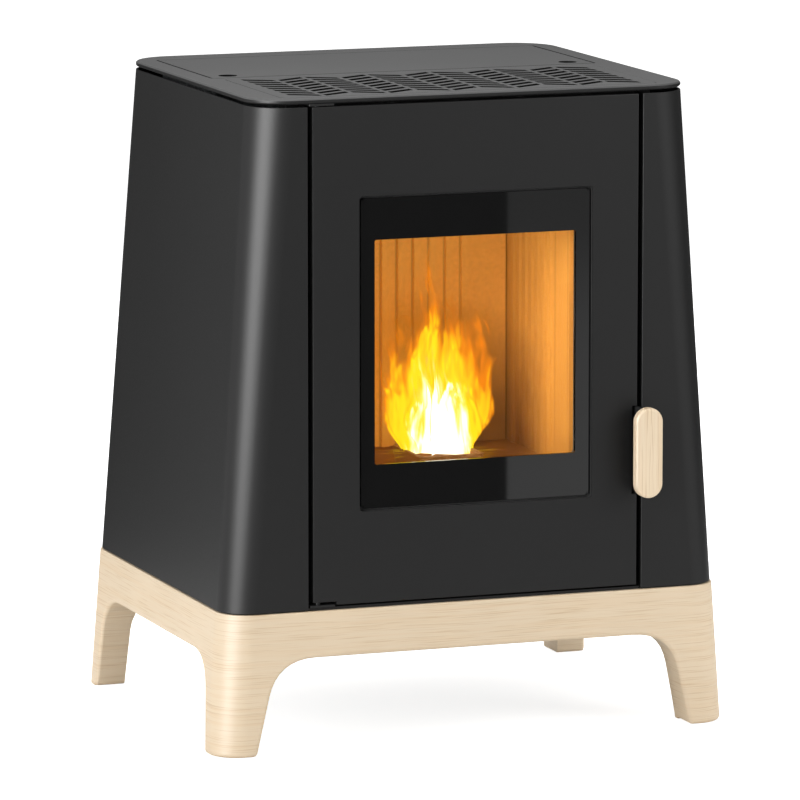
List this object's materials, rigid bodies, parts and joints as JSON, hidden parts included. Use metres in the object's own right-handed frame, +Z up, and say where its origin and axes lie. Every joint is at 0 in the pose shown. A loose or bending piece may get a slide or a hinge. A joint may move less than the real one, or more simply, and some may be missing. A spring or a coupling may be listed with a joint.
{
  "type": "pellet stove",
  "caption": "Compact pellet stove: tapered steel body on a wooden plinth, glazed door with wooden grip, slotted cast top and hopper lid, flue and air inlet behind.",
  "frame": {"origin": "middle of the stove's base on the floor: half the width, and half the depth from the grip to the end of the flue spigot", "axes": "+Z up; +Y from the door towards the wall; +X to the right of someone who faces the door"},
  "size_m": [0.5688, 0.509, 0.6782],
  "materials": {
    "painted_steel": "fine matt grey stove paint",
    "cast_iron": "matt, fine sand-cast grain",
    "dark_steel": "matt black heat-proof paint",
    "bare_steel": "turned steel",
    "zinc_steel": "galvanised sheet",
    "wood": "pale lacquered hardwood",
    "glass": "glass ceramic with a black border",
    "gasket_rope": "woven glass-fibre rope",
    "rubber": "silicone seal",
    "liner": "matt refractory board, glowing in the firelight",
    "circuit_board": "printed board with parts",
    "black_plastic": "moulded black plastic"
  },
  "bodies": {
    "stove_body": {"side_panel_left": "painted_steel", "side_panel_right": "painted_steel", "back_panel": "painted_steel", "top_plate": "cast_iron", "top_grille": "cast_iron", "baffle": "cast_iron", "floor_plate": "dark_steel", "front_frame": "dark_steel", "hinge_plate_lower": "dark_steel", "hinge_plate_upper": "dark_steel", "firebox_shell": "dark_steel", "air_box": "dark_steel", "air_inlet_pipe": "dark_steel", "flue_spigot": "dark_steel", "smoke_duct": "dark_steel", "hinge_pin_lower": "bare_steel", "hinge_pin_upper": "bare_steel", "lid_pin_left": "bare_steel", "lid_pin_right": "bare_steel", "auger_bush": "bare_steel", "corner_strap_front_left": "zinc_steel", "corner_strap_front_right": "zinc_steel", "corner_strap_back_left": "zinc_steel", "corner_strap_back_right": "zinc_steel", "igniter": "zinc_steel", "ash_pan": "zinc_steel", "hopper": "zinc_steel", "auger_tube": "zinc_steel", "auger_motor": "zinc_steel", "gas_fan_housing": "zinc_steel", "gas_fan_motor": "zinc_steel", "room_fan_housing": "zinc_steel", "room_fan_motor": "zinc_steel", "control_bracket": "zinc_steel", "base_front": "wood", "base_back": "wood", "base_left": "wood", "base_right": "wood", "liner_back": "liner", "liner_left": "liner", "liner_right": "liner", "control_board": "circuit_board", "pressure_switch": "black_plastic", "power_inlet": "black_plastic"},
    "door": {"door_panel": "painted_steel", "door_inner_frame": "cast_iron", "door_glass": "glass", "glass_gasket": "gasket_rope", "door_gasket": "gasket_rope", "handle_bracket": "dark_steel", "handle_pin": "bare_steel"},
    "handle": {"handle_lever": "dark_steel", "handle_grip": "wood"},
    "lid": {"hopper_lid": "cast_iron", "lid_seal": "rubber"},
    "burn_pot": {"burn_pot": "cast_iron"},
    "auger": {"auger_screw": "bare_steel"},
    "gas_wheel": {"gas_impeller": "bare_steel"},
    "room_wheel": {"room_fan_rotor": "bare_steel"},
    "switch": {"rocker_switch": "black_plastic"}
  },
  "joints": [
    {"name": "door_hinge", "type": "hinge", "parent": "stove_body", "child": "door", "pos_m": [-0.172, -0.2175, 0.4], "axis": [0, 0, -1], "range_deg": [0, 100]},
    {"name": "handle_turn", "type": "hinge", "parent": "door", "child": "handle", "pos_m": [0.172, -0.2155, 0.297], "axis": [0, 0, -1], "range_deg": [0, 14]},
    {"name": "lid_hinge", "type": "hinge", "parent": "stove_body", "child": "lid", "pos_m": [0, 0.1685, 0.67545], "axis": [-1, 0, 0], "range_deg": [0, 80]},
    {"name": "burn_pot_lift", "type": "slide", "parent": "stove_body", "child": "burn_pot", "axis": [0, 0, 1], "range_m": [0, 0.05]},
    {"name": "auger_turn", "type": "hinge", "parent": "stove_body", "child": "auger", "pos_m": [0, 0.1205, 0.33], "axis": [0, -0.501, 0.8654], "continuous": true},
    {"name": "gas_fan_turn", "type": "hinge", "parent": "stove_body", "child": "gas_wheel", "pos_m": [-0.12, 0.0755, 0.225], "axis": [1, 0, 0], "continuous": true},
    {"name": "room_fan_turn", "type": "hinge", "parent": "stove_body", "child": "room_wheel", "pos_m": [0.155, 0.1205, 0.2], "axis": [1, 0, 0], "continuous": true},
    {"name": "switch_rock", "type": "hinge", "parent": "stove_body", "child": "switch", "pos_m": [0.19, 0.21788, 0.24999], "axis": [0, -0.0211, 0.9998], "range_deg": [0, 14]}
  ]
}
